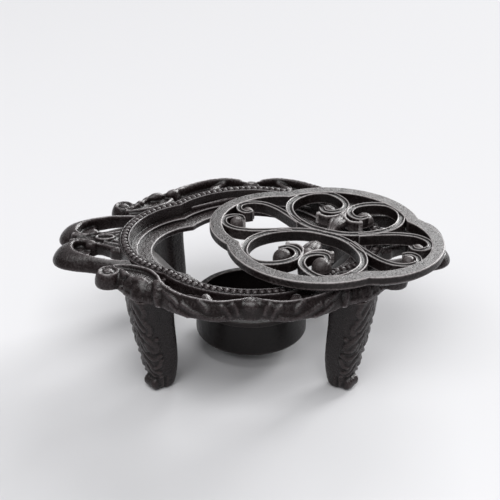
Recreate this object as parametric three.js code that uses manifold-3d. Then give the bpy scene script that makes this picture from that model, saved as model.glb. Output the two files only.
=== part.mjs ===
// Teapot warmer of cast iron: a four-lobed frame with a stepped seat and a scrolled border,
// four screwed-on legs, a hanging candle cup and a loose openwork lid set aside on the rim.
// Millimetres, +Z up, origin on the table under the middle of the frame.
import * as THREE from 'three';
import Module from 'manifold-3d';
import { mergeVertices } from 'three/addons/utils/BufferGeometryUtils.js';

const wasm = await Module();
wasm.setup();

// Opening of the frame: four lobes that meet in four cusps
const OPENING_HALF_LENGTH = 47.2;
const OPENING_HALF_WIDTH = 42;
const END_LOBE_RISE = 18.2;
const SIDE_LOBE_RISE = 14.9;

// Frame casting
const RIM_HEIGHT = 48.5;
const RING_DEPTH = 8.5;
const SEAT_DEPTH = 5;
const SEAT_WIDTH = 2.6;
const LEDGE_STEP = 1.2;
const LEDGE_WIDTH = 5.6;
const BAND_WIDTH = 4.9;
const BAND_LINE = 1.1;
const BAND_GROOVE = 0.5;
const BEAD_PITCH = 3;
const BEAD_RISE = 0.6;

// Scrolled border, shallower than the ring that it grows from
const BORDER_DEPTH = 6.4;
const BORDER_TOP_DROP = 0.2;
const BORDER_SHOULDER = 1.6;
const CROWN_SHARE = 0.5;
const ARCH_FLOOR_DROP = 4;
const CORNER_FLOOR_DROP = 2;
const PRONG_FLOOR_DROP = 3.4;
const PRONG_HALF_WIDTH = 2.2;
const PRONG_BELLY_HALF_WIDTH = 2.7;
const PRONG_KNOB_RADIUS = 2.5;
const STEM_HALF_WIDTH = 4;
const EYE_HALF_LENGTH = 3.2;
const EYE_HALF_WIDTH = 1.4;
const EYE_DEPTH = 2;
const VOLUTE_RADIUS = 4.8;
const LEAF_HALF_WIDTH = 1.9;
const ARCH_HALF_WIDTH = 2.2;
const CARTOUCHE_HALF_LENGTH = 4;
const CARTOUCHE_HALF_WIDTH = 2.8;

// Legs: depths measured out from the stud, along a line turned from the long axis
const LEG_TURN = 40;
const LEG_SQUARENESS = 4;
const LEG_STUD_OUT = [4.6, 2.2];
const LEG_TOP = { inner: -7.4, outer: 8.8, half: 6 };
const LEG_KNEE = { inner: -7.4, outer: 7.2, half: 5.8, height: 30 };
const LEG_SHIN = { inner: -8.4, outer: 3.2, half: 5.4, height: 11 };
const LEG_HEEL = { inner: -7.3, outer: 1.5, half: 4.8, height: 3.5 };
const LEG_SOLE = { inner: -4.4, outer: 0.6, half: 4.2 };
const TOE_RADIUS = 3;
const TOE_REACH = 2.6;
const TOE_HALF_WIDTH = 4;
const STUD_RADIUS = 2;
const STUD_IN_LEG = 7;
const STUD_IN_FRAME = 3.4;

// Candle cup and the two arms that hang it
const CUP_RADIUS = 22.4;
const CUP_WALL = 1.4;
const CUP_LIP_RADIUS = 23;
const CUP_LIP_WIDTH = 2.6;
const CUP_LIP_THICKNESS = 1.8;
const CUP_HEIGHT = 15.2;
const CUP_FLOOR = 1.8;
const CUP_FOOT_BEVEL = 0.9;
const CUP_HANG = 26.8;
const ARM_THICKNESS = 2;
const ARM_WIDTH = 8;
const ARM_EDGE = 0.4;
const SCREW_RADIUS = 1.5;
const SCREW_HEAD_RADIUS = 2.8;
const SCREW_HEAD_HEIGHT = 1.8;
const SCREW_SLOT_WIDTH = 0.8;
const SCREW_SLOT_DEPTH = 0.7;
const SCREW_IN_FRAME = 4.5;
const RIVET_RADIUS = 1.1;
const RIVET_HEAD_RADIUS = 1.9;
const RIVET_HEAD_HEIGHT = 0.9;

// Lid, lying askew on the beaded rim
const LID_CLEARANCE = 0.8;
const LID_THICKNESS = 4.8;
const LID_RING_WIDTH = 4.6;
const LID_SHIFT = [28.2, -8];
const LID_TURN = -26.8;
const HEART_HALF_WIDTH = 23;
const HEART_STRIP = 1.5;
const SCROLL_STRIP = 1.1;
const TENDRIL_STRIP = 0.8;
const HEART_KNOB_RADIUS = 1.9;
const SCROLL_KNOB_RADIUS = 1.6;
const BUD_HALF_LENGTH = 5.6;
const BUD_HALF_WIDTH = 2.5;
const BUD_RISE = 1.8;
const STRIP_SINK = 0.3;

// Fits
const SEAT_GAP = 0.3;
const SHANK_CLEARANCE = 0.25;
const HOLE_END = 0.4;
const OVERLAP = 0.6;

// Facets
const LOBE_STEPS = 16;
const ROUND_STEPS = 16;
const CUP_STEPS = 40;
const LEG_STEPS = 16;
const LEG_LEVELS = 12;
const PRONG_STEPS = 20;
const LEAF_STEPS = 14;
const ARCH_STEPS = 16;
const HEART_STEPS = 32;
const SCROLL_STEPS = 20;
const TENDRIL_STEPS = 8;
const STEM_STEPS = 2;
const BUD_STEPS = 10;
const BUD_LEVELS = 8;

// Points closer than this are one corner
const SAME_POINT = 1e-4;

// Levels and reaches that follow from the sizes above
const CUSP_X = OPENING_HALF_LENGTH - END_LOBE_RISE;
const CUSP_Y = OPENING_HALF_WIDTH - SIDE_LOBE_RISE;
const RING_BOTTOM = RIM_HEIGHT - RING_DEPTH;
const BORDER_BOTTOM = RIM_HEIGHT - BORDER_DEPTH;
const SEAT_LEVEL = RIM_HEIGHT - SEAT_DEPTH;
const LEDGE_LEVEL = SEAT_LEVEL - LEDGE_STEP;
const BORDER_TOP = RIM_HEIGHT - BORDER_TOP_DROP;
const BAND_END = OPENING_HALF_LENGTH + BAND_WIDTH;
const BAND_SIDE = OPENING_HALF_WIDTH + BAND_WIDTH;
const CUP_RIM = RIM_HEIGHT - CUP_HANG;
const CUP_BASE = CUP_RIM - CUP_HEIGHT;

const QUARTERS = [[1, 1], [-1, 1], [-1, -1], [1, -1]];

// Gives a geometry outward faces, whichever way round its triangles were listed.
function outward(geometry) {
  const position = geometry.attributes.position;
  const index = geometry.index.array;
  const [a, b, c] = [new THREE.Vector3(), new THREE.Vector3(), new THREE.Vector3()];
  let volume = 0;
  for (let i = 0; i < index.length; i += 3) {
    a.fromBufferAttribute(position, index[i]);
    b.fromBufferAttribute(position, index[i + 1]);
    c.fromBufferAttribute(position, index[i + 2]);
    volume += a.dot(b.cross(c));
  }
  if (volume < 0) geometry.setIndex([...index].reverse());
  return geometry;
}

function meshGeometry(positions, index) {
  const geometry = new THREE.BufferGeometry();
  geometry.setAttribute('position', new THREE.Float32BufferAttribute(positions, 3));
  geometry.setIndex(index);
  return outward(geometry);
}

function mirrored(geometry, [x, y]) {
  return outward(merged(geometry).scale(x, y, 1));
}

function merged(geometry) {
  const bare = geometry.clone();
  bare.deleteAttribute('normal');
  bare.deleteAttribute('uv');
  return mergeVertices(bare, SAME_POINT);
}

function solidOf(geometry) {
  const bare = merged(geometry);
  const vertProperties = new Float32Array(bare.attributes.position.array);
  const triVerts = new Uint32Array(bare.index.array);
  return new wasm.Manifold(new wasm.Mesh({ numProp: 3, vertProperties, triVerts }));
}

function geometryOf(solid) {
  const { vertProperties, triVerts } = solid.getMesh();
  return meshGeometry([...vertProperties], [...triVerts]);
}

function joined(geometries) {
  return geometries.map(solidOf).reduce((sum, next) => sum.add(next));
}

// Rings of points, all of the same count, skinned into one closed body.
function skin(rings, closed) {
  const around = rings[0].length;
  const along = closed ? rings.length : rings.length - 1;
  const index = [];
  for (let i = 0; i < along; i += 1) {
    const here = i * around;
    const there = ((i + 1) % rings.length) * around;
    for (let j = 0; j < around; j += 1) {
      const next = (j + 1) % around;
      index.push(here + j, there + j, there + next, here + j, there + next, here + next);
    }
  }
  if (!closed) {
    const last = along * around;
    for (let j = 1; j < around - 1; j += 1) {
      index.push(0, j, j + 1, last, last + j + 1, last + j);
    }
  }
  return meshGeometry(rings.flat(2), index);
}

// A bar along a smooth plan curve; each section point is [side, height], side -1 to 1.
function bar(points, section, halfWidth, steps) {
  const knots = points.map(([x, y]) => new THREE.Vector3(x, y, 0));
  const curve = new THREE.CatmullRomCurve3(knots, false, 'centripetal');
  const rings = [];
  for (let i = 0; i <= steps; i += 1) {
    const t = i / steps;
    const centre = curve.getPointAt(t);
    const tangent = curve.getTangentAt(t);
    const half = halfWidth(t);
    rings.push(section.map(([side, z]) => [
      centre.x - tangent.y * side * half,
      centre.y + tangent.x * side * half,
      z,
    ]));
  }
  return skin(rings, false);
}

function crowned(low, high, shoulder) {
  const flat = CROWN_SHARE;
  return [[-1, low], [-1, high - shoulder], [-flat, high], [flat, high], [1, high - shoulder], [1, low]];
}

function squared(low, high) {
  return [[-1, low], [-1, high], [1, high], [1, low]];
}

function plate(points, low, high) {
  const shape = new THREE.Shape(points.map(([x, y]) => new THREE.Vector2(x, y)));
  const geometry = new THREE.ExtrudeGeometry(shape, { depth: high - low, bevelEnabled: false });
  return merged(geometry.translate(0, 0, low));
}

function post([x, y], radius, low, high) {
  const geometry = new THREE.CylinderGeometry(radius, radius, high - low, ROUND_STEPS);
  return geometry.rotateX(Math.PI / 2).translate(x, y, (low + high) / 2);
}

// Outline of the opening moved out by an offset, as points in order round the four lobes.
const END_RADIUS = (END_LOBE_RISE ** 2 + CUSP_Y ** 2) / (2 * END_LOBE_RISE);
const SIDE_RADIUS = (SIDE_LOBE_RISE ** 2 + CUSP_X ** 2) / (2 * SIDE_LOBE_RISE);
const END_CENTRE = OPENING_HALF_LENGTH - END_RADIUS;
const SIDE_CENTRE = OPENING_HALF_WIDTH - SIDE_RADIUS;

// Where the end lobe and the side lobe meet in the first quarter.
function cusp(offset) {
  const end = END_RADIUS + offset;
  const side = SIDE_RADIUS + offset;
  const apart = Math.hypot(END_CENTRE, SIDE_CENTRE);
  const along = (end ** 2 - side ** 2 + apart ** 2) / (2 * apart);
  const across = Math.sqrt(end ** 2 - along ** 2);
  const x = END_CENTRE - (along * END_CENTRE) / apart + (across * SIDE_CENTRE) / apart;
  const y = (along * SIDE_CENTRE) / apart + (across * END_CENTRE) / apart;
  return [x, y];
}

function outline(offset, steps) {
  const [x, y] = cusp(offset);
  const endHalf = Math.atan2(y, x - END_CENTRE);
  const sideHalf = Math.atan2(x, y - SIDE_CENTRE);
  const lobes = [
    [END_CENTRE, 0, END_RADIUS, 0, endHalf],
    [0, SIDE_CENTRE, SIDE_RADIUS, Math.PI / 2, sideHalf],
    [-END_CENTRE, 0, END_RADIUS, Math.PI, endHalf],
    [0, -SIDE_CENTRE, SIDE_RADIUS, (3 * Math.PI) / 2, sideHalf],
  ];
  return lobes.flatMap(([cx, cy, radius, middle, half]) => {
    const points = [];
    for (let i = 0; i < steps; i += 1) {
      const angle = middle - half + (2 * half * i) / steps;
      points.push([cx + (radius + offset) * Math.cos(angle), cy + (radius + offset) * Math.sin(angle)]);
    }
    return points;
  });
}

// A closed section of [offset, height] points carried round the four lobes.
function ringSweep(section, steps) {
  const columns = section.map(([offset, z]) => outline(offset, steps).map(([x, y]) => [x, y, z]));
  const rings = columns[0].map((_, i) => columns.map((column) => column[i]));
  return skin(rings, true);
}

// Frame casting
function seatRing() {
  const groove = RIM_HEIGHT - BAND_GROOVE;
  return ringSweep([
    [-SEAT_WIDTH - LEDGE_WIDTH, RING_BOTTOM],
    [-SEAT_WIDTH - LEDGE_WIDTH, LEDGE_LEVEL],
    [-SEAT_WIDTH, LEDGE_LEVEL],
    [-SEAT_WIDTH, SEAT_LEVEL],
    [0, SEAT_LEVEL],
    [0, RIM_HEIGHT],
    [BAND_LINE, groove],
    [BAND_WIDTH - BAND_LINE, groove],
    [BAND_WIDTH - BAND_LINE / 2, RIM_HEIGHT],
    [BAND_WIDTH, RIM_HEIGHT - BAND_LINE],
    [BAND_WIDTH, RING_BOTTOM],
  ], LOBE_STEPS);
}

// The bead row as one ridge whose crest rises and falls once for each bead.
function beadRow() {
  const middle = BAND_WIDTH / 2;
  const half = middle - BAND_LINE;
  const low = RIM_HEIGHT - BAND_GROOVE - OVERLAP;
  const lobeLength = 2 * Math.atan2(CUSP_Y, CUSP_X - END_CENTRE) * (END_RADIUS + middle);
  const steps = 2 * Math.round(lobeLength / BEAD_PITCH);
  const sides = [-half, 0, half].map((side) => outline(middle + side, steps));
  const rings = sides[0].map((_, i) => {
    const crest = RIM_HEIGHT + (i % 2 ? BEAD_RISE : 0);
    const [inner, centre, outer] = sides.map((side) => side[i]);
    return [[...inner, low], [...centre, crest], [...outer, low]];
  });
  return skin(rings, true);
}

// Control points of the border's curves: prongs count out from the band's end, leaves from the
// band's outer cusp, arches along from that cusp and out from the band's side.
const PRONG_PATH = [[-8, 21], [-2, 21.2], [4, 20.2], [11, 17.7], [17.7, 13.8], [21.5, 8.7], [20, 4.1],
  [15.4, 2.2], [10, 4.3]];
const PRONG_BEND = 3;
const LEAF_PATH = [[20.7, -3], [15.4, 0.7], [12.1, 4.2], [8.6, 7.5], [4.7, 8.3], [1.5, 5.4], [-1, 0]];
const ARCH_PATH = [[-1.5, -13], [-2.5, -6.9], [-6, -0.7], [-12, 4.1], [-21, 6.4], [-28, 4.6], [-34, 0.8]];

function prong() {
  const points = PRONG_PATH.map(([out, across]) => [BAND_END + out, across]);
  const section = crowned(BORDER_BOTTOM, BORDER_TOP, BORDER_SHOULDER);
  const swell = PRONG_BELLY_HALF_WIDTH - PRONG_HALF_WIDTH;
  const width = (t) => PRONG_HALF_WIDTH + swell * Math.sin(Math.PI * t);
  const knob = post(points.at(-1), PRONG_KNOB_RADIUS, BORDER_BOTTOM, BORDER_TOP);
  const floor = plate(points.slice(PRONG_BEND), BORDER_BOTTOM, RIM_HEIGHT - PRONG_FLOOR_DROP);
  return [bar(points, section, width, PRONG_STEPS), knob, floor];
}

function cornerLeaf() {
  const [cornerX, cornerY] = cusp(BAND_WIDTH);
  const points = LEAF_PATH.map(([x, y]) => [cornerX + x, cornerY + y]);
  const section = crowned(BORDER_BOTTOM, BORDER_TOP, BORDER_SHOULDER);
  const ridge = bar(points, section, () => LEAF_HALF_WIDTH, LEAF_STEPS);
  const volute = post(points[0], VOLUTE_RADIUS, BORDER_BOTTOM, BORDER_TOP);
  const inBand = cusp(BAND_WIDTH / 2);
  const root = [BAND_END + PRONG_PATH[0][0], PRONG_PATH[0][1]];
  const floor = plate([...points, inBand, root], BORDER_BOTTOM, RIM_HEIGHT - CORNER_FLOOR_DROP);
  return [ridge, volute, floor];
}

function sideArch() {
  const [cornerX] = cusp(BAND_WIDTH);
  const points = ARCH_PATH.map(([x, out]) => [cornerX + x, BAND_SIDE + out]);
  const section = crowned(BORDER_BOTTOM, BORDER_TOP, BORDER_SHOULDER);
  const ridge = bar(points, section, () => ARCH_HALF_WIDTH, ARCH_STEPS);
  const inBand = [cusp(BAND_WIDTH / 2), [0, BAND_SIDE - BAND_WIDTH / 2]];
  const floor = plate([...points, inBand[1], inBand[0]], BORDER_BOTTOM, RIM_HEIGHT - ARCH_FLOOR_DROP);
  return [ridge, floor];
}

function endStem() {
  const reach = BAND_END + PRONG_PATH.at(-2)[0];
  const section = crowned(BORDER_BOTTOM, BORDER_TOP - OVERLAP, BORDER_SHOULDER);
  return bar([[BAND_END - BAND_WIDTH / 2, 0], [reach, 0]], section, () => STEM_HALF_WIDTH, STEM_STEPS);
}

function cartouche() {
  const oval = post([0, 0], 1, BORDER_BOTTOM, BORDER_TOP);
  oval.scale(CARTOUCHE_HALF_LENGTH, CARTOUCHE_HALF_WIDTH, 1);
  return oval.translate(0, BAND_SIDE + ARCH_PATH.at(-1)[1] + CARTOUCHE_HALF_WIDTH / 2, 0);
}

function eyeHollow() {
  const oval = post([0, 0], 1, BORDER_TOP - OVERLAP - EYE_DEPTH, RIM_HEIGHT);
  oval.scale(EYE_HALF_LENGTH, EYE_HALF_WIDTH, 1);
  return oval.translate(BAND_END + EYE_HALF_LENGTH + BAND_LINE, 0, 0);
}

const [CORNER_X, CORNER_Y] = cusp(BAND_WIDTH);
const STUD_PLACE = [CORNER_X + LEG_STUD_OUT[0], CORNER_Y + LEG_STUD_OUT[1]];
const ARM_SCREW_X = OPENING_HALF_LENGTH + BAND_WIDTH / 2;

function frame() {
  const quarter = [...prong(), ...cornerLeaf(), ...sideArch()];
  const border = QUARTERS.flatMap((sides) => quarter.map((piece) => mirrored(piece, sides)));
  const ends = [[1, 1], [-1, 1]].map((sides) => mirrored(endStem(), sides));
  const middles = [[1, 1], [1, -1]].map((sides) => mirrored(cartouche(), sides));
  const studHole = post(STUD_PLACE, STUD_RADIUS + SHANK_CLEARANCE, RING_BOTTOM,
    BORDER_BOTTOM + STUD_IN_FRAME + HOLE_END);
  const screwHole = post([ARM_SCREW_X, 0], SCREW_RADIUS + SHANK_CLEARANCE, RING_BOTTOM - OVERLAP,
    RING_BOTTOM + SCREW_IN_FRAME + HOLE_END);
  const cuts = [
    ...QUARTERS.map((sides) => mirrored(studHole, sides)),
    ...[[1, 1], [-1, 1]].flatMap((sides) => [mirrored(screwHole, sides), mirrored(eyeHollow(), sides)]),
  ];
  const casting = joined([seatRing(), beadRow(), ...border, ...ends, ...middles]);
  return geometryOf(casting.subtract(joined(cuts)));
}

// Legs: rounded sections stacked from the sole to the frame, with a rolled toe
function legSection({ inner, outer, half }, height) {
  const middle = (inner + outer) / 2;
  const depth = (outer - inner) / 2;
  const ring = [];
  for (let i = 0; i < LEG_STEPS; i += 1) {
    const angle = ((i + 0.5) * 2 * Math.PI) / LEG_STEPS;
    const [c, s] = [Math.cos(angle), Math.sin(angle)];
    const round = (Math.abs(c) ** LEG_SQUARENESS + Math.abs(s) ** LEG_SQUARENESS) ** (-1 / LEG_SQUARENESS);
    ring.push([middle + depth * c * round, half * s * round, height]);
  }
  return ring;
}

function leg() {
  const top = BORDER_BOTTOM - SEAT_GAP;
  const between = [LEG_HEEL, LEG_SHIN, LEG_KNEE].map((part) => [part.height, part]);
  const stations = [[0, LEG_SOLE], ...between, [top, LEG_TOP]];
  const sizes = ['inner', 'outer', 'half'];
  const knots = sizes.map((size) => new THREE.SplineCurve(
    stations.map(([height, station]) => new THREE.Vector2(height, station[size])),
  ));
  const rings = [];
  for (let i = 0; i <= LEG_LEVELS; i += 1) {
    const [inner, outer, half] = knots.map((curve) => curve.getPoint(i / LEG_LEVELS).y);
    rings.push(legSection({ inner, outer, half }, knots[0].getPoint(i / LEG_LEVELS).x));
  }
  const toe = new THREE.CylinderGeometry(TOE_RADIUS, TOE_RADIUS, 2 * TOE_HALF_WIDTH, ROUND_STEPS);
  toe.translate(LEG_SOLE.outer + TOE_REACH - TOE_RADIUS + OVERLAP, 0, TOE_RADIUS);
  const socket = post([0, 0], STUD_RADIUS + SHANK_CLEARANCE, top - STUD_IN_LEG - HOLE_END, top + OVERLAP);
  const casting = geometryOf(joined([skin(rings, false), toe]).subtract(solidOf(socket)));
  casting.rotateZ(THREE.MathUtils.degToRad(LEG_TURN)).translate(...STUD_PLACE, 0);
  return geometryOf(solidOf(casting).subtract(solidOf(ringNotch())));
}

// The step that hooks the leg's top under and behind the ring, so that it can't turn on its stud.
function ringNotch() {
  const inside = -SEAT_WIDTH - LEDGE_WIDTH;
  const outside = BAND_WIDTH + SEAT_GAP;
  const low = RING_BOTTOM - SEAT_GAP;
  return ringSweep([[inside, low], [inside, RIM_HEIGHT], [outside, RIM_HEIGHT], [outside, low]], LOBE_STEPS);
}

function stud() {
  return post(STUD_PLACE, STUD_RADIUS, BORDER_BOTTOM - SEAT_GAP - STUD_IN_LEG, BORDER_BOTTOM + STUD_IN_FRAME);
}

// Candle cup, hanging arms and their fasteners
const LIP_UNDER = CUP_RIM - CUP_LIP_THICKNESS - SEAT_GAP;
const RIVET_LEVEL = LIP_UNDER - ARM_THICKNESS - SEAT_GAP - RIVET_HEAD_RADIUS;
const ARM_END = RIVET_LEVEL - RIVET_HEAD_RADIUS - ARM_EDGE;
const ARM_FACE = CUP_RADIUS + SEAT_GAP;

function across(radius, from, to, height) {
  const geometry = new THREE.CylinderGeometry(radius, radius, to - from, ROUND_STEPS);
  return geometry.rotateZ(Math.PI / 2).translate((from + to) / 2, 0, height);
}

function candleCup() {
  const inside = CUP_RADIUS - CUP_WALL;
  const profile = [
    [0, CUP_BASE],
    [CUP_RADIUS - CUP_FOOT_BEVEL, CUP_BASE],
    [CUP_RADIUS, CUP_BASE + CUP_FOOT_BEVEL],
    [CUP_RADIUS, CUP_RIM - CUP_LIP_THICKNESS],
    [CUP_LIP_RADIUS, CUP_RIM - CUP_LIP_THICKNESS],
    [CUP_LIP_RADIUS, CUP_RIM],
    [CUP_LIP_RADIUS - CUP_LIP_WIDTH, CUP_RIM],
    [inside, CUP_RIM - CUP_LIP_THICKNESS],
    [inside, CUP_BASE + CUP_FLOOR],
    [0, CUP_BASE + CUP_FLOOR],
  ];
  const points = profile.map(([radius, z]) => new THREE.Vector2(radius, z));
  const bowl = outward(merged(new THREE.LatheGeometry(points, CUP_STEPS).rotateX(Math.PI / 2)));
  const hole = across(RIVET_RADIUS + SHANK_CLEARANCE, -CUP_LIP_RADIUS, CUP_LIP_RADIUS, RIVET_LEVEL);
  return geometryOf(solidOf(bowl).subtract(solidOf(hole)));
}

// Side view of the right arm: flat under the frame, sloping in, then down the cup's wall.
function cupArm() {
  const high = RING_BOTTOM - SEAT_GAP;
  const low = high - ARM_THICKNESS;
  const lip = CUP_LIP_RADIUS + SEAT_GAP;
  const lipTop = CUP_RIM + SEAT_GAP;
  const padIn = OPENING_HALF_LENGTH - SEAT_WIDTH - LEDGE_WIDTH;
  const side = [
    [BAND_END, high],
    [padIn, high],
    [lip, lipTop],
    [lip, LIP_UNDER],
    [ARM_FACE, LIP_UNDER],
    [ARM_FACE, ARM_END],
    [ARM_FACE + ARM_THICKNESS, ARM_END],
    [ARM_FACE + ARM_THICKNESS, LIP_UNDER - ARM_THICKNESS],
    [lip + ARM_THICKNESS, LIP_UNDER - ARM_THICKNESS],
    [lip + ARM_THICKNESS, lipTop],
    [padIn + ARM_THICKNESS / 2, low],
    [BAND_END, low],
  ];
  const shape = new THREE.Shape(side.map(([x, z]) => new THREE.Vector2(x, z)));
  const strap = new THREE.ExtrudeGeometry(shape, { depth: ARM_WIDTH, bevelEnabled: false });
  strap.rotateX(Math.PI / 2).translate(0, ARM_WIDTH / 2, 0);
  const screwHole = post([ARM_SCREW_X, 0], SCREW_RADIUS + SHANK_CLEARANCE, low - OVERLAP, high + OVERLAP);
  const rivetHole = across(RIVET_RADIUS + SHANK_CLEARANCE, 0, BAND_END, RIVET_LEVEL);
  return geometryOf(solidOf(strap).subtract(joined([screwHole, rivetHole])));
}

function armScrew() {
  const under = RING_BOTTOM - 2 * SEAT_GAP - ARM_THICKNESS;
  const head = post([0, 0], SCREW_HEAD_RADIUS, under - SCREW_HEAD_HEIGHT, under);
  const shank = post([0, 0], SCREW_RADIUS, under - OVERLAP, RING_BOTTOM + SCREW_IN_FRAME);
  const slot = new THREE.BoxGeometry(2 * SCREW_HEAD_RADIUS, SCREW_SLOT_WIDTH, 2 * SCREW_SLOT_DEPTH);
  slot.translate(0, 0, under - SCREW_HEAD_HEIGHT);
  return geometryOf(joined([head, shank]).subtract(solidOf(slot)));
}

function cupRivet() {
  const outer = ARM_FACE + ARM_THICKNESS + SEAT_GAP;
  const inner = CUP_RADIUS - CUP_WALL - SEAT_GAP;
  const outerHead = across(RIVET_HEAD_RADIUS, outer, outer + RIVET_HEAD_HEIGHT, RIVET_LEVEL);
  const innerHead = across(RIVET_HEAD_RADIUS, inner - RIVET_HEAD_HEIGHT, inner, RIVET_LEVEL);
  const shank = across(RIVET_RADIUS, inner - OVERLAP, outer + OVERLAP, RIVET_LEVEL);
  return geometryOf(joined([outerHead, innerHead, shank]));
}

// Lid: a four-lobed ring filled with two hearts back to back and four end scrolls.
// The pattern's points are shares of the room that the ring leaves for it.
const LID_OUTER = -LID_CLEARANCE;
const LID_INNER = LID_OUTER - LID_RING_WIDTH;
const HEART_LENGTH = OPENING_HALF_WIDTH + LID_INNER;
const SCROLL_LENGTH = OPENING_HALF_LENGTH + LID_INNER;
const HEART_SHARES = [[-0.03, 0.03], [0.3, 0.05], [0.62, 0.15], [0.87, 0.31], [0.985, 0.48],
  [0.965, 0.66], [0.82, 0.83], [0.56, 0.91], [0.28, 0.85], [0.09, 0.72], [0.07, 0.58],
  [0.2, 0.485], [0.36, 0.49], [0.43, 0.57]];
const TENDRIL_SHARES = [[0.01, 0.66], [0.06, 0.46], [0.22, 0.37], [0.39, 0.39]];
const SCROLL_SHARES = [[0.3, 0.09], [0.48, 0.22], [0.64, 0.31], [0.78, 0.34], [0.9, 0.29],
  [0.955, 0.18], [0.91, 0.08], [0.84, 0.06], [0.795, 0.11]];

function lidStrip(shares, length, width, half, steps) {
  const points = shares.map(([x, y]) => [x * length, y * width]);
  const section = squared(STRIP_SINK, LID_THICKNESS - STRIP_SINK);
  return bar(points, section, half, steps);
}

function lidKnob([x, y], length, width, radius) {
  return post([x * length, y * width], radius, STRIP_SINK, LID_THICKNESS - STRIP_SINK);
}

function lid() {
  const ring = ringSweep([
    [LID_INNER, 0],
    [LID_INNER, LID_THICKNESS],
    [LID_OUTER, LID_THICKNESS],
    [LID_OUTER, 0],
  ], LOBE_STEPS);
  const taper = (t) => HEART_STRIP - (HEART_STRIP - SCROLL_STRIP) * Math.max(0, 2 * t - 1);
  const quarter = [
    lidStrip(HEART_SHARES, HEART_HALF_WIDTH, HEART_LENGTH, taper, HEART_STEPS),
    lidKnob(HEART_SHARES.at(-1), HEART_HALF_WIDTH, HEART_LENGTH, HEART_KNOB_RADIUS),
    lidStrip(TENDRIL_SHARES, HEART_HALF_WIDTH, HEART_LENGTH, () => TENDRIL_STRIP, TENDRIL_STEPS),
    lidStrip(SCROLL_SHARES, SCROLL_LENGTH, HEART_LENGTH, () => SCROLL_STRIP, SCROLL_STEPS),
    lidKnob(SCROLL_SHARES.at(-1), SCROLL_LENGTH, HEART_LENGTH, SCROLL_KNOB_RADIUS),
  ];
  const bud = new THREE.SphereGeometry(1, BUD_STEPS, BUD_LEVELS);
  bud.scale(BUD_HALF_WIDTH, BUD_HALF_LENGTH, BUD_RISE);
  const budEnd = TENDRIL_SHARES[1][1] * HEART_LENGTH + OVERLAP;
  bud.translate(0, budEnd - BUD_HALF_LENGTH, LID_THICKNESS - STRIP_SINK - BUD_RISE);
  const pattern = QUARTERS.flatMap((sides) => quarter.map((piece) => mirrored(piece, sides)));
  const buds = [[1, 1], [1, -1]].map((sides) => mirrored(bud, sides));
  return geometryOf(joined([ring, ...pattern, ...buds]));
}

// Assembly
const castIron = new THREE.MeshStandardMaterial({ color: 0x2e2826, roughness: 0.55, metalness: 0.6 });
const wornIron = new THREE.MeshStandardMaterial({ color: 0x4a4542, roughness: 0.7, metalness: 0.5 });
const darkIron = new THREE.MeshStandardMaterial({ color: 0x1f1c1c, roughness: 0.45, metalness: 0.6 });
const steel = new THREE.MeshStandardMaterial({ color: 0x5a5856, roughness: 0.4, metalness: 0.9 });

const warmer = new THREE.Group();

function place(name, geometry, material, [x, y, z] = [0, 0, 0], turn = 0) {
  const mesh = new THREE.Mesh(geometry, material);
  mesh.name = name;
  mesh.position.set(x, y, z);
  mesh.rotation.z = THREE.MathUtils.degToRad(turn);
  warmer.add(mesh);
}

place('frame', frame(), castIron);

const CORNERS = ['back_right', 'back_left', 'front_left', 'front_right'];
CORNERS.forEach((corner, i) => {
  place(`leg_${corner}`, mirrored(leg(), QUARTERS[i]), castIron);
  place(`leg_stud_${corner}`, mirrored(stud(), QUARTERS[i]), steel);
});

place('candle_cup', candleCup(), darkIron);
[['right', 1], ['left', -1]].forEach(([side, x]) => {
  const sides = [x, 1];
  place(`cup_arm_${side}`, mirrored(cupArm(), sides), darkIron);
  place(`arm_screw_${side}`, armScrew(), steel, [x * ARM_SCREW_X, 0, 0]);
  place(`cup_rivet_${side}`, mirrored(cupRivet(), sides), steel);
});

const LID_REST = RIM_HEIGHT + BEAD_RISE + SEAT_GAP;
place('lid', lid(), wornIron, [...LID_SHIFT, LID_REST], LID_TURN);

export default warmer;
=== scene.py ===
import math

import bmesh
import bpy
import numpy as np
from mathutils import Matrix, Vector


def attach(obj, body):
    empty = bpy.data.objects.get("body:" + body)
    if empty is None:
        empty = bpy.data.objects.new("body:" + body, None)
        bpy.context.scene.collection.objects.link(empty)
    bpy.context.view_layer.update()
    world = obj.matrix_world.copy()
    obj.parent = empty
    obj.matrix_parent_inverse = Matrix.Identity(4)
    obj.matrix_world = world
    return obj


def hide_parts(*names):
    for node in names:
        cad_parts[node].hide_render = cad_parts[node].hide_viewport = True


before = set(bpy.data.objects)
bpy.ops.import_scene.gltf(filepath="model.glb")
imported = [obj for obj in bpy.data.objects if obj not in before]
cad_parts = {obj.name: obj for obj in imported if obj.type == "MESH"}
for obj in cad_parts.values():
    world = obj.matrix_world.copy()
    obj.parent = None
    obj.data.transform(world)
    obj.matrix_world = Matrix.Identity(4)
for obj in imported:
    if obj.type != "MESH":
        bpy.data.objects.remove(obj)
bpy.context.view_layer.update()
scene = bpy.context.scene

MM = 0.001

# Opening of the frame: four lobes that meet in four cusps
END_RADIUS, END_CENTRE = 29.276, 17.924
SIDE_RADIUS, SIDE_CENTRE = 35.671, 6.329
LOBE_STEPS = 56

# Frame casting: levels, steps of the seat as offsets from the opening's outline, and the beads in their groove
RIM = 48.5
RING_BOTTOM = 40.0
LEDGE, SEAT = 42.3, 43.5
BORDER_BOTTOM = 42.1
LEDGE_EDGE, SEAT_EDGE, BAND = -8.2, -2.6, 4.9
BEAD_PITCH, BEAD_SLANT, BEAD_RADII, BEAD_DROP = 2.6, 0.22, (1.15, 1.4, 0.9), 0.45
BEAD_GROOVE, BEAD_PATH_STEPS = 1.0, 60

# Meshes that are melted together: voxel sizes and rounds of smoothing
BORDER_VOXEL, LEG_VOXEL, SMOOTHING = 0.46, 0.3, 2

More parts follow.
